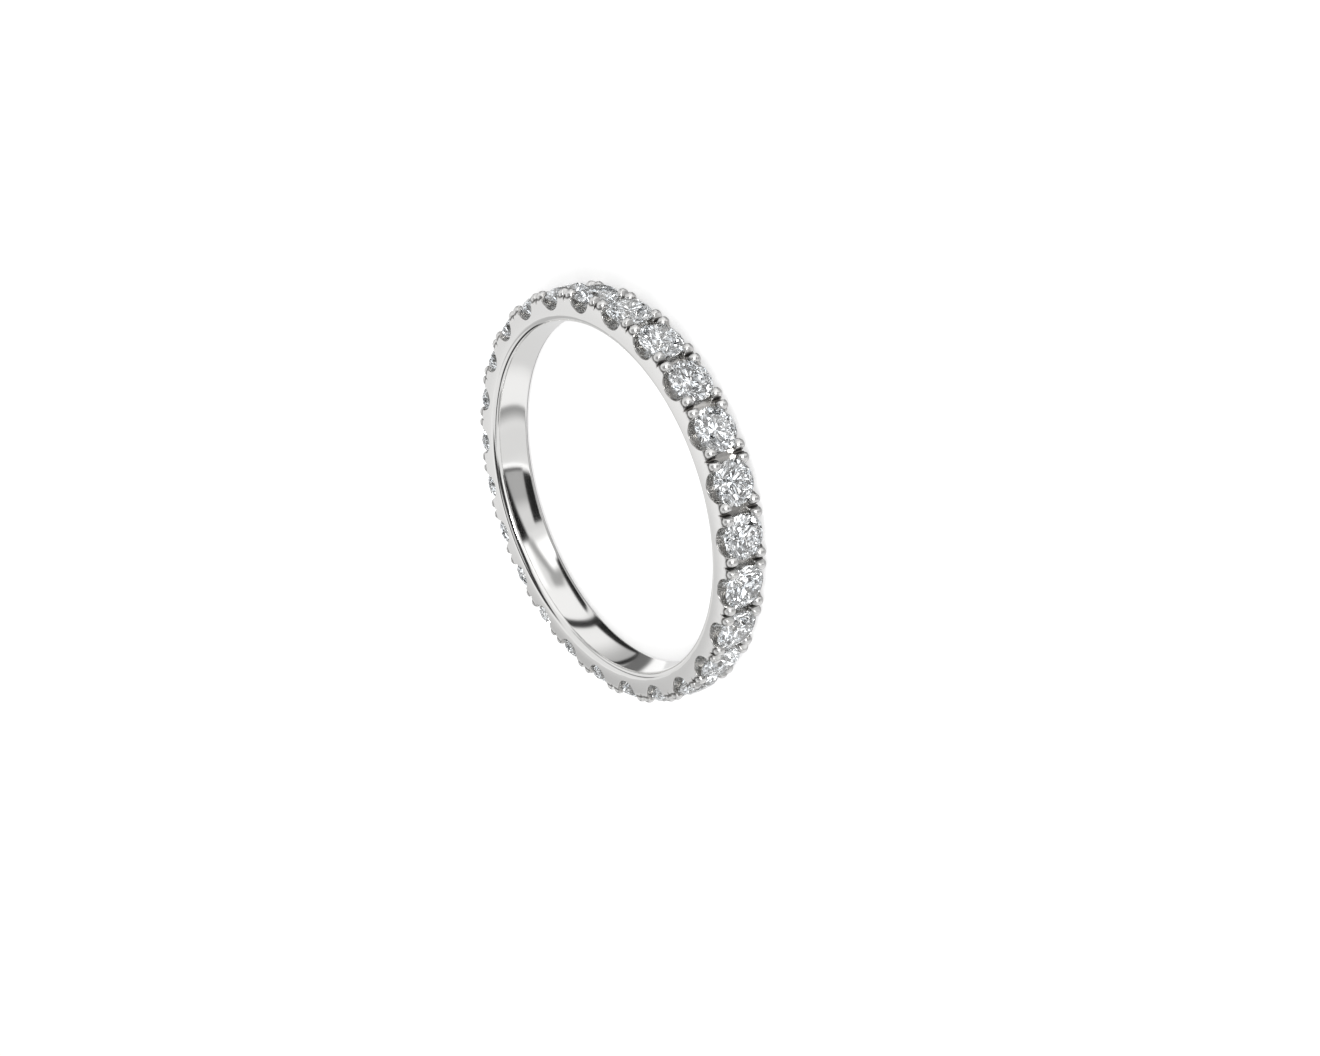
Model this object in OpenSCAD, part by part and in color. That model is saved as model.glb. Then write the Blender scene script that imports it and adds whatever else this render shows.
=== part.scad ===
// Full eternity pinky ring, lying on its side: axis of the finger hole along Z,
// lower side face at z = 0, origin on the axis.  All sizes in millimetres.

/* [Ring] */
// Diameter of the finger hole
bore_d = 14.9; // [14.6:0.1:15.6]
// Width of the band, from one side face to the other
band_w = 1.85; // [1.85:0.05:2.1]
// Height of the post tops above the finger hole
post_h = 1.15; // [1.13:0.01:1.17]
// Radius of the rounding along both edges of the finger hole
bore_edge_r = 0.33; // [0.15:0.01:0.4]
// Radius of the rounding along both outer edges of the posts
post_edge_r = 0.12; // [0.06:0.01:0.16]

/* [Stones] */
// Diameter of one round stone at its girdle
stone_d = 1.85; // [1.8:0.01:1.87]
// Height of the middle of the girdle above the finger hole
girdle_h = 1.12; // [1.1:0.01:1.14]
// Width of the table as a share of the stone's diameter
table_share = 0.57; // [0.53:0.01:0.62]
// Slope of the crown facets, in degrees
crown_deg = 34.5; // [32:0.5:36]
// Slope of the pavilion facets, in degrees
pavilion_deg = 40.75; // [40:0.25:41.5]
// Thickness of the girdle
girdle_t = 0.056; // [0.04:0.002:0.07]
// Clear gap between a stone and the metal of its seat
seat_gap = 0.02; // [0.015:0.001:0.03]

/* [Cut-down setting] */
// Radius of the round cut in the side walls under each stone
cut_r = 0.61; // [0.56:0.01:0.63]
// Height of the bottom of that cut above the finger hole
cut_floor_h = 0.59; // [0.5:0.01:0.66]
// Radius of one prong bead
bead_r = 0.24; // [0.21:0.005:0.245]
// Height of a bead's centre above the finger hole
bead_h = 1.19; // [1.17:0.01:1.22]
// Distance of a bead's centre from the middle line of its gap
bead_off = 0.25; // [0.245:0.005:0.27]
// Distance of a bead's centre from the side face
bead_in = 0.247; // [0.247:0.001:0.27]
// Height of the point of the notch between two prongs above the finger hole
notch_h = 0.96; // [0.94:0.01:1]
// Half of the angle between the two sides of the notch, in degrees
notch_deg = 19; // [14:1:22]
// Height of the bar between two stones above the finger hole
bar_h = 0.92; // [0.86:0.01:0.93]

/* [Hidden] */
n_stones = 25;

bore_r = bore_d / 2;
post_r = bore_r + post_h;
girdle_r = bore_r + girdle_h;
pitch = 360 / n_stones;
mid = band_w / 2;
sr = stone_d / 2;
tr = sr * table_share;
crown_h = (sr - tr) * tan(crown_deg);
pav_h = sr * tan(pavilion_deg);
gh = girdle_t / 2;
bead_rr = bore_r + bead_h;
bead_a = asin(bead_off / bead_rr);
prong_z = bead_in + bead_r + 0.01;      // depth of a prong, from the side face
far = bore_r + 2;                       // a radius well outside the ring

metal = [0.86, 0.86, 0.86];
gem = [0.90, 0.94, 0.98];

// Section of the plain hoop: rectangle with rounded corners, in (radius, z)
module hoop_section() {
    translate([bore_r + bore_edge_r, 0]) square([post_h - bore_edge_r - post_edge_r, band_w]);
    translate([bore_r, bore_edge_r]) square([bore_edge_r * 1.5, band_w - 2 * bore_edge_r]);
    translate([post_r - 1.5 * post_edge_r, post_edge_r]) square([1.5 * post_edge_r, band_w - 2 * post_edge_r]);
    for (z = [bore_edge_r, band_w - bore_edge_r]) translate([bore_r + bore_edge_r, z]) circle(r = bore_edge_r, $fn = 48);
    for (z = [post_edge_r, band_w - post_edge_r]) translate([post_r - post_edge_r, z]) circle(r = post_edge_r, $fn = 48);
}

// Things that repeat round the ring: children placed at each stone, or half a pitch on
module each_stone(shift = 0) {
    for (k = [0:n_stones - 1]) rotate([0, 0, (k + shift) * pitch]) children();
}

// Round cut through both side walls under a stone, open at the top
module side_cut() {
    intersection() {
        translate([bore_r + cut_floor_h + cut_r, 0, -1]) cylinder(r = cut_r, h = band_w + 2, $fn = 64);
        translate([bore_r, -1, -2]) cube([post_h + 0.02, 2, band_w + 4]);
    }
}

// Seat of a stone: the stone's own turned outline, larger by the gap
module seat() {
    g = seat_gap;
    translate([girdle_r, 0, mid]) rotate([0, 90, 0]) rotate_extrude($fn = 64) polygon([
        [0, -gh - pav_h - 1.35 * g], [sr + g, -gh - 0.4 * g], [sr + g, gh + 0.4 * g],
        [tr + g, gh + crown_h + 0.4 * g], [tr + g, gh + crown_h + 0.6], [0, gh + crown_h + 0.6]]);
}

// Pointed notch that splits a post into two prongs
module notch() {
    t = tan(notch_deg);
    tip = bore_r + notch_h;
    translate([0, 0, -1]) linear_extrude(height = band_w + 2)
        polygon([[tip, 0], [far, (far - tip) * t], [far, -(far - tip) * t]]);
}

// Space over the bar, between the near and the far prongs
module bar_space() {
    translate([bore_r + bar_h, -0.45, prong_z]) cube([1.5, 0.9, band_w - 2 * prong_z]);
}

// The four beads that stand on one post; the poles of each sphere point along the radius,
// and its seam lies on the side away from the stone
module beads() {
    for (s = [-1, 1], z = [bead_in, band_w - bead_in])
        rotate([0, 0, s * bead_a]) translate([bead_rr, 0, z])
            rotate([0, z < mid ? 90 : -90, 0]) sphere(r = bead_r, $fn = 48);
}

// Hoop with its cuts, then the beads with theirs, made one
module band() color(metal) {
    union() {
        difference() {
            rotate_extrude($fn = 360) hoop_section();
            each_stone() side_cut();
            each_stone() seat();
            each_stone(0.5) notch();
            each_stone(0.5) bar_space();
        }
        difference() {
            each_stone(0.5) beads();
            each_stone() seat();
            each_stone(0.5) notch();
        }
    }
}

// Round brilliant with 57 facets and a 16-sided girdle, table up, middle of the girdle at 0
module brilliant() {
    c8 = cos(22.5);
    star_r = tr * c8 + 0.5 * (sr - tr * c8);                       // where star and kite facets meet
    star_h = gh + crown_h * (sr - star_r * c8) / (sr - tr);
    low_r = 0.22 * sr;                                             // where lower facets meet
    low_h = -gh - pav_h * (1 - low_r * c8 / sr);
    function ring(n, r, h, a0) = [for (i = [0:n - 1]) [r * cos(a0 + i * 360 / n), r * sin(a0 + i * 360 / n), h]];
    pts = concat(
        ring(8, tr, gh + crown_h, 0),       // 0..7   table
        ring(8, star_r, star_h, 22.5),      // 8..15  star points
        ring(16, sr, gh, 0),                // 16..31 upper edge of the girdle
        ring(16, sr, -gh, 0),               // 32..47 lower edge of the girdle
        ring(8, low_r, low_h, 22.5),        // 48..55 lower facet points
        [[0, 0, -gh - pav_h]]);             // 56     culet
    function n8(i) = (i + 8) % 8;
    function n16(i) = (i + 16) % 16;
    faces = concat(
        [[for (i = [7:-1:0]) i]],
        [for (i = [0:7]) [i, n8(i + 1), 8 + i]],
        [for (i = [0:7]) [i, 8 + i, 16 + 2 * i, 8 + n8(i - 1)]],
        [for (i = [0:7]) [8 + i, 17 + 2 * i, 16 + 2 * i]],
        [for (i = [0:7]) [8 + i, 16 + n16(2 * i + 2), 17 + 2 * i]],
        [for (i = [0:15]) [16 + i, 16 + n16(i + 1), 32 + n16(i + 1), 32 + i]],
        [for (i = [0:7]) [48 + i, 32 + 2 * i, 33 + 2 * i]],
        [for (i = [0:7]) [48 + i, 33 + 2 * i, 32 + n16(2 * i + 2)]],
        [for (i = [0:7]) [56, 48 + n8(i - 1), 32 + 2 * i, 48 + i]]);
    polyhedron(points = pts, faces = faces, convexity = 2);
}

// Stone number k, counted counter-clockwise from +X
module stone(k) color(gem)
    rotate([0, 0, (k - 1) * pitch]) translate([girdle_r, 0, mid]) rotate([0, 90, 0]) brilliant();

band();
for (k = [1:n_stones])
    stone(k);
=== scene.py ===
import math

import bpy
import bmesh
import numpy as np
from mathutils import Matrix, Vector


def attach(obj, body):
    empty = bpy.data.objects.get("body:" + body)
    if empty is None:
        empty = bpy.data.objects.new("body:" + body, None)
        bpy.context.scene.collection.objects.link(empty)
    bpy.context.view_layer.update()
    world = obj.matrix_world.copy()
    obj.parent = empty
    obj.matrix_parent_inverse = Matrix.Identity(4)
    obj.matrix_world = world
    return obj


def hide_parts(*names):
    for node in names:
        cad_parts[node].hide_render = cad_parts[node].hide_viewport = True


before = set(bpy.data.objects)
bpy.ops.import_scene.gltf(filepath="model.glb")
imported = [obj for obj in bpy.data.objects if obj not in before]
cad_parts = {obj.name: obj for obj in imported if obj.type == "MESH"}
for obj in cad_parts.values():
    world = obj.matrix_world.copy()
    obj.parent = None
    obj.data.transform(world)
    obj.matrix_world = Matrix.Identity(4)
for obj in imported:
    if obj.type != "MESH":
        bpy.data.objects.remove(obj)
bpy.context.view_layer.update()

MM = 0.001
N = 25
PITCH = 2 * math.pi / N

# ---- sizes of the ring, in millimetres, as in the CAD part ----
bore_r, band_w, post_h = 7.45, 1.85, 1.15
bore_edge_r, post_edge_r = 0.33, 0.12
stone_d, girdle_h, table_share = 1.85, 1.12, 0.57
crown_deg, pavilion_deg, girdle_t, seat_gap = 34.5, 40.75, 0.056, 0.02
cut_r, cut_floor_h = 0.61, 0.59
bead_r, bead_h, bead_off, bead_in = 0.24, 1.19, 0.25, 0.247
notch_h, notch_deg, bar_h = 0.96, 19.0, 0.92

mid = band_w / 2
post_r = bore_r + post_h
girdle_r = bore_r + girdle_h
sr = stone_d / 2
tr = sr * table_share
gh = girdle_t / 2
prong_z = bead_in + bead_r + 0.01
# the dome of the hole's wall, and the rounded edge that runs on from it
dome_r = 3.6
edge_w = mid - bore_edge_r
edge_t = math.asin(edge_w / (1 - bore_edge_r / dome_r) / dome_r)
edge_c = bore_r + (edge_w / (1 - bore_edge_r / dome_r)) ** 2 / (2 * dome_r) + bore_edge_r * math.cos(edge_t)
bead_rr = bore_r + bead_h
bead_a = math.asin(bead_off / bead_rr)


# ---- the metal as a distance field; rho, phi (from the middle of a gap) and w (from the mid-plane) ----
def smax(a, b, k):
    h = np.maximum(k - np.abs(a - b), 0) / k
    return np.maximum(a, b) + h * h * k * 0.25


def smin(a, b, k):
    return -smax(-a, -b, k)


def fields(rho, phi, w):
    """Signed distances to the cut hoop, to the nearest bead and to the seat; negative inside. Valid for any phi."""
    phi = np.abs((phi + PITCH / 2) % PITCH - PITCH / 2)
    w = np.abs(w)
    # hoop with rounded corners; the wall of the hole is domed by a few hundredths of a millimetre
    box = np.maximum(np.maximum((bore_r + w * w / (2 * dome_r) - rho), rho - post_r), w - mid)
    round_edge = (rho < edge_c) & (w - edge_w > (edge_c - rho) * math.tan(edge_t))
    box = np.where(round_edge, np.hypot(rho - edge_c, w - edge_w) - bore_edge_r, box)
    co, cv = post_r - post_edge_r, mid - post_edge_r
    outer = (rho > co) & (w > cv)
    box = np.where(outer, np.hypot(rho - co, w - cv) - post_edge_r, box)
    x, y = rho * np.cos(phi), rho * np.sin(phi)
    # round cut under the stone; the two stones of this gap stand at plus and minus half a pitch
    ps = PITCH / 2 - phi
    u, v = rho * np.cos(ps), rho * np.sin(ps)
    cut = np.hypot(u - (bore_r + cut_floor_h + cut_r), v) - cut_r
    # the cut is open at the top
    slot = np.maximum(np.abs(v) - cut_r, (bore_r + cut_floor_h + cut_r) - u)
    cut = np.minimum(cut, slot)
    hoop = smax(box, -cut, 0.05)
    # notch and the space over the bar
    t = math.radians(notch_deg)
    notch = (y - (x - (bore_r + notch_h)) * math.tan(t)) * math.cos(t)
    bar = np.maximum(w - (mid - prong_z), (bore_r + bar_h) - x)
    hoop = smax(hoop, -notch, 0.035)
    hoop = smax(hoop, -bar, 0.035)
    # beads
    bx, by, bz = bead_rr * math.cos(bead_a), bead_rr * math.sin(bead_a), mid - bead_in
    bead = np.sqrt((x - bx) ** 2 + (y - by) ** 2 + (w - bz) ** 2) - bead_r
    bead = smax(bead, -notch, 0.03)
    # seat of the stone
    g = seat_gap
    s = np.hypot(v, w)
    h = u - girdle_r
    tp, tc = math.radians(pavilion_deg), math.radians(crown_deg)
    pav = (-gh - 0.4 * g - (sr + g - s) * math.tan(tp) - h) * math.cos(tp)
    crown = (h - (gh + 0.4 * g + (sr + g - s) * math.tan(tc))) * math.cos(tc)
    up = np.minimum(crown, s - (tr + g))
    seat = np.maximum(np.maximum(pav, s - (sr + g)), up)
    return hoop, bead, seat


def metal(rho, phi, w):
    """Signed distance to the band's surface, negative in the metal."""
    hoop, bead, seat = fields(rho, phi, w)
    return smax(smin(hoop, bead, 0.06), -seat, 0.015)


def painted_foot_shade(rho, phi, w, wide=0.05, e=2e-3):
    """Weight of the painted shade in the crease where a bead meets the hoop: 1 there, falling to 0 away from it."""
    h, b = fields(rho, phi, w)[:2]
    d = []
    for r2, p2, w2 in ((rho + e, phi, w), (rho, phi + e / rho, w), (rho, phi, w + e)):
        h2, b2 = fields(r2, p2, w2)[:2]
        d.append(((h2 - h) / e, (b2 - b) / e))
    gh_, gb = np.stack([x[0] for x in d], -1), np.stack([x[1] for x in d], -1)
    size = np.linalg.norm(gh_, axis=-1) * np.linalg.norm(gb, axis=-1)
    turn = (gh_ * gb).sum(-1) / np.maximum(size, 1e-6)
    near = np.clip(2.2 - np.maximum(np.abs(h), np.abs(b)) / wide * 2.2, 0, 1)
    return near * np.clip((0.93 - turn) / 0.15, 0, 1) * np.clip((rho - bore_r - 0.93) / 0.04, 0, 1)


def gradient(rho, phi, w, e=2e-3):
    """Unit normal in the local frame (radial, tangential, w)."""
    gr = metal(rho + e, phi, w) - metal(rho - e, phi, w)
    gp = (metal(rho, phi + e / rho, w) - metal(rho, phi - e / rho, w))
    gw = metal(rho, phi, w + e) - metal(rho, phi, w - e)
    n = np.stack([gr, gp, gw], -1) / (2 * e)
    return n


def net(step):
    """Surface net of the metal over one quarter: half a pitch, half the width."""
    nr = int(round(1.5 / step))
    rs = bore_r - 2.5 * step + np.arange(nr + 4) * step
    half = PITCH / 2
    npn = int(round(half * 8.2 / step))
    dphi = half / npn
    ps = (np.arange(npn + 2) - 0.5) * dphi
    nw = int(round(mid / step))
    dw = mid / nw
    ws = (np.arange(nw + 4) - 0.5) * dw
    R, P, W = np.meshgrid(rs, ps, ws, indexing="ij")
    F = metal(R, P, W)
    C = np.stack([R, P, W], -1)
    shape = tuple(n - 1 for n in F.shape)
    acc = np.zeros(shape + (3,))
    cnt = np.zeros(shape)
    offs = [(i, j, k) for i in (0, 1) for j in (0, 1) for k in (0, 1)]

    def corner(a, o):
        return a[o[0]:o[0] + shape[0], o[1]:o[1] + shape[1], o[2]:o[2] + shape[2]]

    for o in offs:
        for ax in range(3):
            if o[ax]:
                continue
            q = list(o)
            q[ax] = 1
            fa, fb = corner(F, o), corner(F, tuple(q))
            m = (fa < 0) != (fb < 0)
            t = np.where(m, fa / np.where(m, fa - fb, 1), 0)
            pa, pb = corner(C, o), corner(C, tuple(q))
            acc += np.where(m[..., None], pa + t[..., None] * (pb - pa), 0)
            cnt += m
    has = cnt > 0
    index = -np.ones(shape, int)
    index[has] = np.arange(has.sum())
    V = acc[has] / cnt[has][:, None]
    # quads, one round each crossed edge
    quads = []
    for ax in range(3):
        o1, o2 = [(1, 2), (2, 0), (0, 1)][ax]
        a = [slice(1, s) for s in shape]
        a[ax] = slice(0, shape[ax])
        b = list(a)
        b[ax] = slice(1, shape[ax] + 1)
        fa = F[a[0], a[1], a[2]]
        fb = F[b[0], b[1], b[2]]
        for flip, m in ((False, (fa < 0) & (fb >= 0)), (True, (fa >= 0) & (fb < 0))):
            ii = np.argwhere(m)
            base = ii + [1 if d != ax else 0 for d in range(3)]
            e1 = np.zeros(3, int)
            e1[o1] = 1
            e2 = np.zeros(3, int)
            e2[o2] = 1
            q = [base - e1 - e2, base - e2, base, base - e1]
            q = np.stack([index[x[:, 0], x[:, 1], x[:, 2]] for x in q], -1)
            if flip:
                q = q[:, ::-1]
            quads.append(q[(q >= 0).all(1)])
    Q = np.concatenate(quads)
    # onto the surface, staying on the three planes of symmetry
    on0 = np.abs(V[:, 1]) < 1e-6
    on1 = np.abs(V[:, 1] - half) < 1e-6
    onw = np.abs(V[:, 2]) < 1e-6
    for _ in range(4):
        d = metal(V[:, 0], V[:, 1], V[:, 2])
        n = gradient(V[:, 0], V[:, 1], V[:, 2])
        g2 = np.maximum((n * n).sum(1), 0.2)
        move = -(d / g2)[:, None] * n
        ln = np.linalg.norm(move, axis=1)
        move *= np.minimum(1, 0.5 * step / np.maximum(ln, 1e-9))[:, None]
        V[:, 0] += move[:, 0]
        V[:, 1] += move[:, 1] / V[:, 0]
        V[:, 2] += move[:, 2]
        V[on0, 1] = 0
        V[on1, 1] = half
        V[onw, 2] = 0
    return V, Q


def to_xyz(V):
    return np.stack([V[:, 0] * np.cos(V[:, 1]), V[:, 0] * np.sin(V[:, 1]), V[:, 2]], -1)


def make_band(step, ratio):
    V, Q = net(step)
    me = bpy.data.meshes.new("quarter")
    me.from_pydata(to_xyz(V).tolist(), [], Q.tolist())
    me.update()
    ob = bpy.data.objects.new("quarter", me)
    bpy.context.scene.collection.objects.link(ob)
    mod = ob.modifiers.new("dec", "DECIMATE")
    mod.decimate_type = "COLLAPSE"
    mod.ratio = ratio
    mod.use_collapse_triangulate = True
    dg = bpy.context.evaluated_depsgraph_get()
    ev = ob.evaluated_get(dg)
    m2 = ev.to_mesh()
    co = np.array([v.co[:] for v in m2.vertices])
    tris = np.array([p.vertices[:] for p in m2.polygons])
    ev.to_mesh_clear()
    bpy.data.objects.remove(ob)
    bpy.data.meshes.remove(me)
    rho, phi, w = np.hypot(co[:, 0], co[:, 1]), np.arctan2(co[:, 1], co[:, 0]), co[:, 2].copy()
    half = PITCH / 2
    tol = 0.25 * step
    on0, on1, onw = np.abs(phi * rho) < tol, np.abs((phi - half) * rho) < tol, np.abs(w) < tol
    for _ in range(3):
        phi[on0], phi[on1], w[onw] = 0, half, 0
        d = metal(rho, phi, w)
        n = gradient(rho, phi, w)
        g2 = np.maximum((n * n).sum(1), 0.2)
        move = -(d / g2)[:, None] * n
        ln = np.linalg.norm(move, axis=1)
        move *= np.minimum(1, 0.3 * step / np.maximum(ln, 1e-9))[:, None]
        rho = rho + move[:, 0]
        phi = phi + move[:, 1] / rho
        w = w + move[:, 2]
    phi[on0], phi[on1], w[onw] = 0, half, 0
    print("quarter:", len(V), "net points,", len(tris), "triangles after thinning")
    # four quarters make a pitch, 25 pitches make the band
    P, T, count = [], [], 0
    for k in range(N):
        base = (k + 0.5) * PITCH
        for sp in (1, -1):
            for sw in (1, -1):
                a = base + sp * phi
                P.append(np.stack([rho * np.cos(a), rho * np.sin(a), mid + sw * w], -1))
                t = tris + count
                T.append(t if sp * sw > 0 else t[:, ::-1])
                count += len(co)
    P, T = np.concatenate(P), np.concatenate(T)
    # weld the equal points of the seams
    key = np.round(P / 1e-5).astype(np.int64)
    _, first, inv = np.unique(key, axis=0, return_index=True, return_inverse=True)
    inv = inv.reshape(-1)
    P, T = P[first], inv[T]
    T = T[(T[:, 0] != T[:, 1]) & (T[:, 1] != T[:, 2]) & (T[:, 2] != T[:, 0])]
    return P, T


def band_object():
    P, T = make_band(0.02, 0.095)
    me = bpy.data.meshes.new("band_metal")
    me.from_pydata((P * MM).tolist(), [], T.tolist())
    me.validate()
    me.update()
    bm = bmesh.new()
    bm.from_mesh(me)
    bmesh.ops.remove_doubles(bm, verts=bm.verts, dist=2e-8)
    bmesh.ops.recalc_face_normals(bm, faces=bm.faces)
    open_edges = sum(1 for e in bm.edges if len(e.link_faces) != 2)
    print("band:", len(bm.verts), "points", len(bm.faces), "triangles,", open_edges, "edges not shared by two faces, volume mm3", round(bm.calc_volume() * 1e9, 2))
    bm.to_mesh(me)
    bm.free()
    for p in me.polygons:
        p.use_smooth = True
    co = np.array([v.co[:] for v in me.vertices]) / MM
    rho, ang, w = np.hypot(co[:, 0], co[:, 1]), np.arctan2(co[:, 1], co[:, 0]), co[:, 2] - mid
    n = gradient(rho, ang - PITCH / 2, w)
    c, s = np.cos(ang), np.sin(ang)
    nn = np.stack([n[:, 0] * c - n[:, 1] * s, n[:, 0] * s + n[:, 1] * c, n[:, 2]], -1)
    nn /= np.maximum(np.linalg.norm(nn, axis=1), 1e-9)[:, None]
    tri = np.array([p.vertices[:] for p in me.polygons])
    a, b, c = co[tri[:, 0]], co[tri[:, 1]], co[tri[:, 2]]
    fn = np.cross(b - a, c - a)
    fn /= np.maximum(np.linalg.norm(fn, axis=1), 1e-12)[:, None]
    longest = np.maximum(np.maximum(np.linalg.norm(b - a, axis=1), np.linalg.norm(c - b, axis=1)), np.linalg.norm(a - c, axis=1))
    corner = nn[tri]
    agree = np.einsum("fd,fcd->fc", fn, corner).min(1)
    side = np.abs(np.abs(co[:, 2] - mid) - mid) < 0.0006
    flat = (np.abs(fn[:, 2]) > math.cos(math.radians(10))) & (longest > 0.05) & side[tri].any(1) & (rho[tri].min(1) > bore_r + 0.2)
    stiff = ~flat & (agree < math.cos(math.radians(28))) & (longest > 0.09)
    corner[stiff] = fn[stiff][:, None, :]
    tilt = 0.05 * np.clip((rho - 8.05) / 0.35, -1, 1)
    cushion = np.stack([tilt * np.cos(ang), tilt * np.sin(ang), np.sign(co[:, 2] - mid)], -1)
    corner[flat] = cushion[tri[flat]]
    corner /= np.linalg.norm(corner, axis=2, keepdims=True)
    print("normals:", int(flat.sum()), "flat,", int(stiff.sum()), "stiff of", len(tri))
    me.normals_split_custom_set(corner.reshape(-1, 3).tolist())
    ob = bpy.data.objects.new("band_metal", me)
    bpy.context.scene.collection.objects.link(ob)
    return ob


# ---- materials ----
def node_material(name):
    m = bpy.data.materials.new(name)
    m.use_nodes = True
    nt = m.node_tree
    b = nt.nodes["Principled BSDF"]
    return m, nt, b


def metal_material():
    m, nt, b = node_material("polished_white_metal")
    b.inputs["Base Color"].default_value = (0.86, 0.855, 0.845, 1)
    b.inputs["Metallic"].default_value = 1.0
    tc = nt.nodes.new("ShaderNodeTexCoord")
    sx = nt.nodes.new("ShaderNodeVectorMath")
    sx.operation = "MULTIPLY"
    sx.inputs[1].default_value = (1, 1, 0)
    nt.links.new(tc.outputs["Object"], sx.inputs[0])
    ln = nt.nodes.new("ShaderNodeVectorMath")
    ln.operation = "LENGTH"
    nt.links.new(sx.outputs[0], ln.inputs[0])
    mr = nt.nodes.new("ShaderNodeMapRange")
    mr.interpolation_type = "SMOOTHSTEP"
    mr.inputs["From Min"].default_value = 8.36 * MM
    mr.inputs["From Max"].default_value = 8.52 * MM
    mr.inputs["To Min"].default_value = 0.10
    mr.inputs["To Max"].default_value = 0.32
    nt.links.new(ln.outputs["Value"], mr.inputs["Value"])
    nt.links.new(mr.outputs["Result"], b.inputs["Roughness"])
    # painted shade: further out than about 8.4 to 8.5 mm from the axis (the beads and the tops of the posts), the base
    # colour darkens towards the outlines as seen by the viewer, standing in for dark reflections at their edges
    lw = nt.nodes.new("ShaderNodeLayerWeight")
    lw.inputs["Blend"].default_value = 0.5
    rim = nt.nodes.new("ShaderNodeMapRange")
    rim.interpolation_type = "SMOOTHSTEP"
    rim.inputs["From Min"].default_value = 0.60
    rim.inputs["From Max"].default_value = 0.92
    nt.links.new(lw.outputs["Facing"], rim.inputs["Value"])
    zone = nt.nodes.new("ShaderNodeMapRange")
    zone.inputs["From Min"].default_value = 8.42 * MM
    zone.inputs["From Max"].default_value = 8.50 * MM
    nt.links.new(ln.outputs["Value"], zone.inputs["Value"])
    outline_shade_mask = nt.nodes.new("ShaderNodeMath")
    outline_shade_mask.operation = "MULTIPLY"
    nt.links.new(rim.outputs["Result"], outline_shade_mask.inputs[0])
    nt.links.new(zone.outputs["Result"], outline_shade_mask.inputs[1])
    shade = nt.nodes.new("ShaderNodeMix")
    shade.data_type = "RGBA"
    shade.inputs["A"].default_value = (0.86, 0.855, 0.845, 1)
    shade.inputs["B"].default_value = (0.22, 0.215, 0.21, 1)
    nt.links.new(outline_shade_mask.outputs[0], shade.inputs["Factor"])
    # painted shade: the base colour is darkened in the crease where each bead meets the hoop, where shade falls
    foot_shade_weight = nt.nodes.new("ShaderNodeAttribute")
    foot_shade_weight.attribute_name = "painted_foot_shade"
    crease = nt.nodes.new("ShaderNodeMix")
    crease.data_type = "RGBA"
    crease.inputs["B"].default_value = (0.12, 0.115, 0.11, 1)
    nt.links.new(foot_shade_weight.outputs["Fac"], crease.inputs["Factor"])
    nt.links.new(shade.outputs["Result"], crease.inputs["A"])
    nt.links.new(crease.outputs["Result"], b.inputs["Base Color"])
    no = nt.nodes.new("ShaderNodeTexNoise")
    no.inputs["Scale"].default_value = 900.0
    no.inputs["Detail"].default_value = 2.0
    nt.links.new(tc.outputs["Object"], no.inputs["Vector"])
    bp = nt.nodes.new("ShaderNodeBump")
    bp.inputs["Strength"].default_value = 0.04
    bp.inputs["Distance"].default_value = 0.00002
    nt.links.new(no.outputs["Fac"], bp.inputs["Height"])
    nt.links.new(bp.outputs["Normal"], b.inputs["Normal"])
    return m


def stone_material():
    m, nt, b = node_material("clear_stone")
    b.inputs["Base Color"].default_value = (0.99, 0.995, 1.0, 1)
    b.inputs["Metallic"].default_value = 0.0
    b.inputs["Roughness"].default_value = 0.0
    b.inputs["IOR"].default_value = 2.42
    b.inputs["Transmission Weight"].default_value = 1.0
    return m


def recess_material(name, color, rough, upper=None):
    m, nt, b = node_material(name)
    b.inputs["Base Color"].default_value = color
    b.inputs["Metallic"].default_value = 1.0
    b.inputs["Roughness"].default_value = rough
    if upper:
        # another colour further out from the axis; the notch uses it for painted shade, darker there
        tc = nt.nodes.new("ShaderNodeTexCoord")
        sx = nt.nodes.new("ShaderNodeVectorMath")
        sx.operation = "MULTIPLY"
        sx.inputs[1].default_value = (1, 1, 0)
        nt.links.new(tc.outputs["Object"], sx.inputs[0])
        ln = nt.nodes.new("ShaderNodeVectorMath")
        ln.operation = "LENGTH"
        nt.links.new(sx.outputs[0], ln.inputs[0])
        mr = nt.nodes.new("ShaderNodeMapRange")
        mr.interpolation_type = "SMOOTHSTEP"
        mr.inputs["From Min"].default_value = 8.43 * MM
        mr.inputs["From Max"].default_value = 8.56 * MM
        nt.links.new(ln.outputs["Value"], mr.inputs["Value"])
        mx = nt.nodes.new("ShaderNodeMix")
        mx.data_type = "RGBA"
        mx.inputs["A"].default_value = color
        mx.inputs["B"].default_value = upper
        nt.links.new(mr.outputs["Result"], mx.inputs["Factor"])
        nt.links.new(mx.outputs["Result"], b.inputs["Base Color"])
    return m


metal_mat = metal_material()
# partly real, partly painted shade: the cuts, the bar and the inside of the posts are a rougher, unpolished finish of
# the same metal, and their darker base colour is painted shade in the recesses
recess_mat = recess_material("recess_metal_painted_shade", (0.52, 0.51, 0.495, 1), 0.24)
# painted shade: the walls of the notch are darker than the polished metal, and darker still further out from the axis
notch_mat = recess_material("notch_metal_painted_shade", (0.70, 0.685, 0.67, 1), 0.38, (0.20, 0.195, 0.19, 1))
# painted light: the seats under the stones get a brighter base colour than the same metal elsewhere, lifting them as
# seen through the stones
seat_mat = recess_material("seat_metal_painted_light", (0.97, 0.97, 0.97, 1), 0.22)
stone_mat = stone_material()

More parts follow.
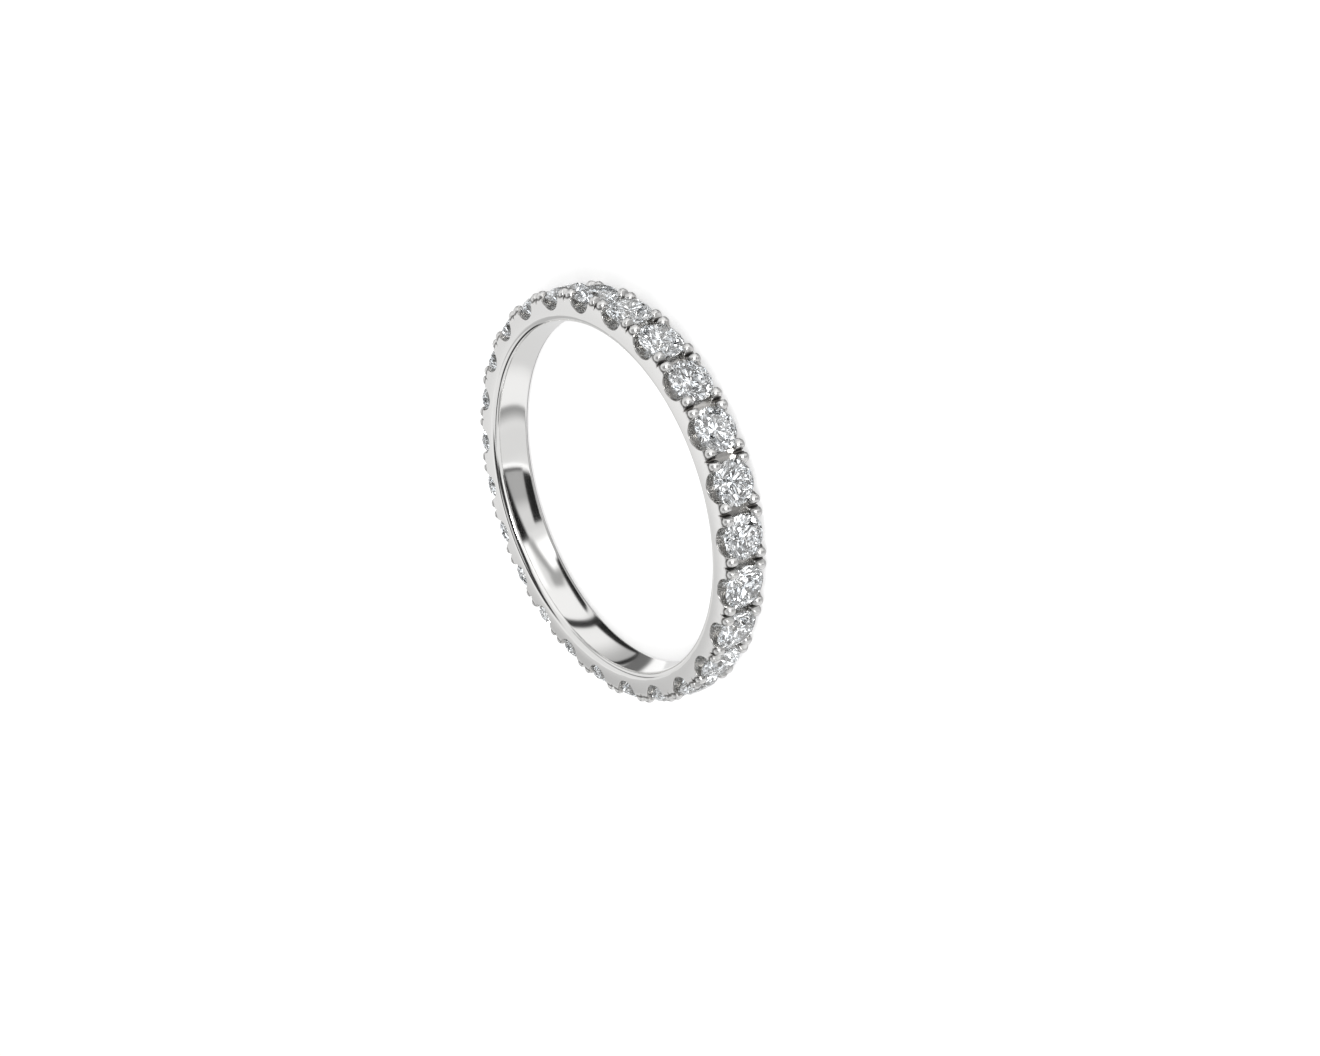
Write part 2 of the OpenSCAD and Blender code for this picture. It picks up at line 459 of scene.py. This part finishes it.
band = band_object()
for m in (metal_mat, recess_mat, notch_mat, seat_mat):
    band.data.materials.append(m)
# weight of the painted crease shade at each point of the band, kept as a point attribute for the metal's base colour
co = np.array([v.co[:] for v in band.data.vertices]) / MM
foot_shade_weight = painted_foot_shade(np.hypot(co[:, 0], co[:, 1]), np.arctan2(co[:, 1], co[:, 0]) - PITCH / 2, co[:, 2] - mid)
band.data.attributes.new("painted_foot_shade", "FLOAT", "POINT").data.foreach_set("value", foot_shade_weight.astype(np.float32))
print("points at the beads' feet:", int((foot_shade_weight > 0.5).sum()))
# faces in the cuts, over the bar and inside the posts take the darker copy of the metal (painted shade), the notch
# faces the darker notch copy (painted shade), and the seats the brighter copy (painted light)
for p in band.data.polygons:
    c = p.center / MM
    rho, w = math.hypot(c.x, c.y), abs(c.z - mid)
    phi = abs((math.atan2(c.y, c.x) + 2 * PITCH) % PITCH - PITCH / 2)
    u, v = rho * math.cos(PITCH / 2 - phi), rho * math.sin(PITCH / 2 - phi)
    y = abs(rho * math.sin(phi))
    in_cut = math.hypot(u - (bore_r + cut_floor_h + cut_r), v) < cut_r + 0.03 and w < mid - 0.008
    on_bar = abs(rho * math.cos(phi) - (bore_r + bar_h)) < 0.03 and w < mid - prong_z + 0.05
    inside = w < mid - prong_z and bore_r + 0.25 < rho < post_r + 0.02
    depth = (sr + seat_gap - math.hypot(v, w)) * math.tan(math.radians(pavilion_deg)) - (girdle_r - u)
    in_seat = abs(depth) < 0.03 and u < girdle_r and math.hypot(v, w) < sr
    in_notch = y < (rho - (bore_r + notch_h)) * math.tan(math.radians(notch_deg)) + 0.012 and rho < bead_rr + 0.02
    if in_seat:
        p.material_index = 3
    elif in_notch:
        p.material_index = 2
    elif in_cut or on_bar or inside:
        p.material_index = 1
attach(band, "root")
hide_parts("band")

for k in range(1, N + 1):
    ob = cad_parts["stone_%02d" % k]
    for sl in ob.material_slots:
        sl.material = stone_mat

# ---- floor ----
def floor_object():
    me = bpy.data.meshes.new("floor")
    s = 0.6
    me.from_pydata([(-s, -s, 0), (s, -s, 0), (s, s, 0), (-s, s, 0)], [], [(0, 1, 2, 3)])
    me.update()
    ob = bpy.data.objects.new("floor", me)
    bpy.context.scene.collection.objects.link(ob)
    m, nt, b = node_material("floor_paper")
    b.inputs["Base Color"].default_value = (0.55, 0.55, 0.55, 1)
    b.inputs["Roughness"].default_value = 0.9
    b.inputs["Specular IOR Level"].default_value = 0.0
    b.inputs["Emission Color"].default_value = (1, 1, 1, 1)
    b.inputs["Emission Strength"].default_value = 0.48
    me.materials.append(m)
    ob.location.z = -0.00001
    return ob


floor = floor_object()

# tone, azimuth range (from straight behind the ring), elevation range, softness; lean moves the azimuth with elevation,
# rise moves the elevation with azimuth
PANELS = [
    # the wall of the hole, round the ring
    dict(tone=0.76, a0=-25, a1=58, e0=-95, e1=5, sa=10, se=20, lean=-0.3),
    dict(tone=1.00, a0=64, a1=92, e0=-95, e1=5, sa=16, sb=4, se=20, lean=-0.3),
    dict(tone=0.34, a0=91.5, a1=100, e0=-70, e1=0, sa=4, sb=13, se=8, lean=-0.3),
    dict(tone=0.80, a0=107, a1=130, e0=-70, e1=0, sa=10, se=10, lean=-0.3),
    dict(tone=0.46, a0=137, a1=162, e0=-70, e1=0, sa=2, sb=16, se=10, lean=-0.05),
    dict(tone=0.78, a0=162, a1=178, e0=-70, e1=0, sa=16, sb=4, se=10),
    dict(tone=1.30, a0=132, a1=135, e0=-70, e1=4, sa=1.5, se=8, lean=-0.05),
    dict(tone=0.02, a0=135, a1=137.4, e0=-38, e1=0, sa=1.0, se=6, lean=-0.05),
    dict(tone=0.02, a0=137, a1=174, e0=-54, e1=-37.5, sa=2, se=2, rise=0.06, from_a=150),
    dict(tone=0.01, a0=139, a1=183, e0=-13, e1=11, sa=3, se=3, rise=-0.22, from_a=150),
    dict(tone=1.35, a0=186, a1=212, e0=-52, e1=-20, sa=8, se=6, rise=-0.3, from_a=186),
    dict(tone=1.25, a0=184, a1=240, e0=-16, e1=16, sa=6, se=6),
    dict(tone=0.42, a0=182, a1=221, e0=-24, e1=-15, sa=8, se=7, rise=-0.42, from_a=183),
    dict(tone=0.42, a0=209, a1=219, e0=-44, e1=-24, sa=8, sb=6, se=8),
    dict(tone=1.02, a0=219, a1=247, e0=-44, e1=20, sa=6, sb=4, se=6, lean=0.35),
    dict(tone=0.02, a0=204, a1=250, e0=-62, e1=-44, sa=5, se=2.5, rise=0.12, from_a=215),
    dict(tone=0.98, a0=254, a1=280, e0=-40, e1=20, sa=3, sb=26, se=3, lean=0.65),
    dict(tone=0.50, a0=280, a1=297, e0=-40, e1=20, sa=26, sb=3, se=3, lean=0.65),
    dict(tone=0.02, a0=252, a1=300, e0=-58, e1=-37.5, sa=4, se=2.5, lean=0.65),
    dict(tone=0.02, a0=246.5, a1=254, e0=-50, e1=-5, sa=3, se=4, lean=0.6),
    dict(tone=0.02, a0=295, a1=301, e0=-45, e1=-5, sa=2.5, se=3, lean=0.9),
    dict(tone=0.17, a0=301, a1=317, e0=-48, e1=0, sa=3, sb=7, se=6, lean=0.7),
    dict(tone=1.10, a0=319, a1=345, e0=-60, e1=-20, sa=6, se=4, lean=0.7),
    # its lower edge, and the outlines of the beads
    dict(tone=0.45, a0=60, a1=330, e0=-95, e1=-60, sa=14, se=8),
    dict(tone=0.08, a0=-19, a1=14, e0=-66, e1=-38, sa=8, se=6),
    dict(tone=0.08, a0=332, a1=345, e0=-66, e1=-42, sa=8, se=6),
    # its upper edge, and the beads
    dict(tone=0.04, a0=20, a1=62, e0=6, e1=24, sa=8, se=8, rise=0.55, from_a=32),
    dict(tone=0.01, a0=58, a1=104, e0=6, e1=19, sa=6, se=6, rise=0.55, from_a=32),
    dict(tone=0.38, a0=82, a1=106, e0=4, e1=24, sa=6, se=6),
    dict(tone=1.05, a0=140, a1=238, e0=15, e1=37, sa=8, se=4),
    dict(tone=0.10, a0=240, a1=325, e0=2, e1=5.5, sa=6, se=2),
    dict(tone=0.10, a0=252, a1=335, e0=25, e1=29.5, sa=6, se=2),
    dict(tone=0.01, a0=124, a1=206, e0=41, e1=95, sa=8, se=4),
    dict(tone=0.88, a0=-30, a1=50, e0=38, e1=75, sa=8, sb=20, se=8),
    dict(tone=0.04, a0=-30, a1=112, e0=64, e1=95, sa=2, sb=14, se=5),
    dict(tone=0.04, a0=112, a1=232, e0=53, e1=95, sa=14, se=5),
    dict(tone=0.04, a0=225, a1=350, e0=62, e1=95, sa=14, sb=2, se=6),
    # straight overhead: what the upper side face mirrors from above
    dict(tone=0.66, a0=-60, a1=400, e0=78, e1=100, sa=4, se=6),
    # what the side faces mirror
    dict(tone=0.54, a0=-6, a1=20, e0=8, e1=44, sa=8, se=8),
    dict(tone=0.80, a0=-40, a1=-11, e0=8, e1=44, sa=5, se=8),
    dict(tone=0.94, a0=-40, a1=6, e0=34, e1=60, sa=8, se=12),
]

# ---- light: a white studio; what the polished metal mirrors is a ring of pale panels with dark gaps ----
world = bpy.data.worlds.new("studio")
bpy.context.scene.world = world
world.use_nodes = True
wt = world.node_tree
bg = wt.nodes["Background"]
bg.inputs["Color"].default_value = (1, 1, 1, 1)
out = wt.nodes["World Output"]


def wmath(op, a, b=None):
    n = wt.nodes.new("ShaderNodeMath")
    n.operation = op
    for i, v in enumerate((a, b)):
        if v is None:
            continue
        if isinstance(v, (int, float)):
            n.inputs[i].default_value = v
        else:
            wt.links.new(v, n.inputs[i])
    return n.outputs[0]


def ramp(x, at, soft, down=False):
    n = wt.nodes.new("ShaderNodeMapRange")
    n.interpolation_type = "SMOOTHSTEP"
    wt.links.new(x, n.inputs["Value"])
    n.inputs["From Min"].default_value = at - soft / 2
    n.inputs["From Max"].default_value = at + soft / 2
    n.inputs["To Min"].default_value = 1.0 if down else 0.0
    n.inputs["To Max"].default_value = 0.0 if down else 1.0
    return n.outputs["Result"]


tex = wt.nodes.new("ShaderNodeTexCoord")
sep = wt.nodes.new("ShaderNodeSeparateXYZ")
wt.links.new(tex.outputs["Generated"], sep.inputs[0])
azim = wmath("MULTIPLY", wmath("ARCTAN2", sep.outputs["Y"], sep.outputs["X"]), 57.29578)
azim = wmath("SUBTRACT", azim, 93.8)
azim = wmath("SUBTRACT", wmath("MODULO", wmath("ADD", azim, 740.0), 360.0), 20.0)
elev = wmath("MULTIPLY", wmath("ARCSINE", sep.outputs["Z"]), 57.29578)


def panel(value, tone, a0, a1, e0, e1, sa=4.0, se=6.0, lean=0.0, rise=0.0, from_a=0.0, sb=None):
    """Paints one panel of the studio: azimuth a0 to a1, elevation e0 to e1, in degrees; lean moves it with elevation."""
    e = elev if not rise else wmath("SUBTRACT", elev, wmath("MULTIPLY", wmath("SUBTRACT", azim, from_a), rise))
    x = azim if not lean else wmath("ADD", azim, wmath("MULTIPLY", wmath("ADD", elev, 25.0), lean))
    m = wmath("MULTIPLY", ramp(x, a0, sa), ramp(x, a1, sb or sa, True))
    m = wmath("MULTIPLY", m, wmath("MULTIPLY", ramp(e, e0, se), ramp(e, e1, se, True)))
    d = wmath("MULTIPLY", wmath("SUBTRACT", tone, value), m)
    return wmath("ADD", value, d)


tone = wmath("ADD", wmath("MULTIPLY", sep.outputs["Z"], 0.0), 0.86)
for q in PANELS:
    tone = panel(tone, **q)
wt.links.new(tone, bg.inputs["Strength"])
plain = wt.nodes.new("ShaderNodeBackground")
plain.inputs["Color"].default_value = (1, 1, 1, 1)
plain.inputs["Strength"].default_value = 0.95
path = wt.nodes.new("ShaderNodeLightPath")
mix = wt.nodes.new("ShaderNodeMixShader")
wt.links.new(path.outputs["Is Glossy Ray"], mix.inputs[0])
wt.links.new(plain.outputs[0], mix.inputs[1])
wt.links.new(bg.outputs[0], mix.inputs[2])
# what comes through the stones is a studio of many small lamps and gaps
vor = wt.nodes.new("ShaderNodeTexVoronoi")
vor.inputs["Scale"].default_value = 5.5
wt.links.new(tex.outputs["Generated"], vor.inputs["Vector"])
vsep = wt.nodes.new("ShaderNodeSeparateColor")
wt.links.new(vor.outputs["Color"], vsep.inputs[0])
v = vsep.outputs[0]
spark = wmath("ADD", wmath("MULTIPLY", ramp(v, 0.26, 0.04), 0.12), 0.0)
spark = wmath("ADD", spark, wmath("MULTIPLY", ramp(v, 0.42, 0.06), 0.44))
spark = wmath("ADD", spark, wmath("MULTIPLY", ramp(v, 0.62, 0.06), 0.58))
spark = wmath("ADD", spark, wmath("MULTIPLY", ramp(v, 0.88, 0.04), 1.6))
spark = wmath("MAXIMUM", spark, wmath("MULTIPLY", ramp(sep.outputs["Y"], 0.15, 0.50), 0.80))
# and a dark place on the front side, which the facets under the table throw back as dark arrows
front = wt.nodes.new("ShaderNodeVectorMath")
front.operation = "DOT_PRODUCT"
wt.links.new(tex.outputs["Generated"], front.inputs[0])
front.inputs[1].default_value = (-0.0509, -0.8468, 0.5295)
spark = wmath("MULTIPLY", spark, wmath("SUBTRACT", 1.08, wmath("MULTIPLY", ramp(front.outputs["Value"], 0.955, 0.03), 1.0)))
tint = wt.nodes.new("ShaderNodeMix")
tint.data_type = "RGBA"
wt.links.new(vsep.outputs[1], tint.inputs["Factor"])
tint.inputs["A"].default_value = (0.86, 0.93, 1.0, 1)
tint.inputs["B"].default_value = (1.0, 0.99, 0.97, 1)
gem_bg = wt.nodes.new("ShaderNodeBackground")
wt.links.new(tint.outputs["Result"], gem_bg.inputs["Color"])
wt.links.new(spark, gem_bg.inputs["Strength"])
mix2 = wt.nodes.new("ShaderNodeMixShader")
wt.links.new(path.outputs["Is Transmission Ray"], mix2.inputs[0])
wt.links.new(mix.outputs[0], mix2.inputs[1])
wt.links.new(gem_bg.outputs[0], mix2.inputs[2])
wt.links.new(mix2.outputs[0], out.inputs["Surface"])
floor.visible_glossy = False
floor.visible_transmission = False


def area(name, pos, target, size, power, shape="RECTANGLE", size_y=None):
    li = bpy.data.lights.new(name, "AREA")
    li.shape = shape
    li.size = size
    if size_y:
        li.size_y = size_y
    li.energy = power
    ob = bpy.data.objects.new(name, li)
    bpy.context.scene.collection.objects.link(ob)
    d = Vector(target) - Vector(pos)
    ob.location = pos
    ob.rotation_euler = d.to_track_quat("-Z", "Y").to_euler()
    return ob


key = area("key", (-0.10, -0.02, 0.16), (0, 0, 0), 0.10, 0.12, size_y=0.10)
key.visible_glossy = False
lamp = area("lamp", (-0.0095, -0.1234, 0.0933), (0, 0, 0), 0.036, 0.07, size_y=0.022)

# ---- camera ----
cam_data = bpy.data.cameras.new("camera")
cam = bpy.data.objects.new("camera", cam_data)
bpy.context.scene.collection.objects.link(cam)
right = Vector((-0.35111409, -0.48117459, -0.80323715))
up = Vector((0.93494683, -0.22682435, -0.27280971))
back = Vector((-0.05092464, -0.84677136, 0.52951388))
M = Matrix((right, up, back)).transposed().to_4x4()
M.translation = Vector((-0.00493246, -0.07395502, 0.04684508))
cam.matrix_world = M
cam_data.sensor_fit = "HORIZONTAL"
cam_data.sensor_width = 36.0
cam_data.lens = 57.2727
cam_data.shift_x = 0.02727
cam_data.shift_y = -0.01894
cam_data.clip_start = 0.001
cam_data.clip_end = 10
bpy.context.scene.camera = cam

bpy.context.scene.view_settings.view_transform = "Standard"
# light that is mirrored inside the stones again and again still comes out
bpy.context.scene.cycles.max_bounces = 48
bpy.context.scene.cycles.glossy_bounces = 32
bpy.context.scene.cycles.transmission_bounces = 48
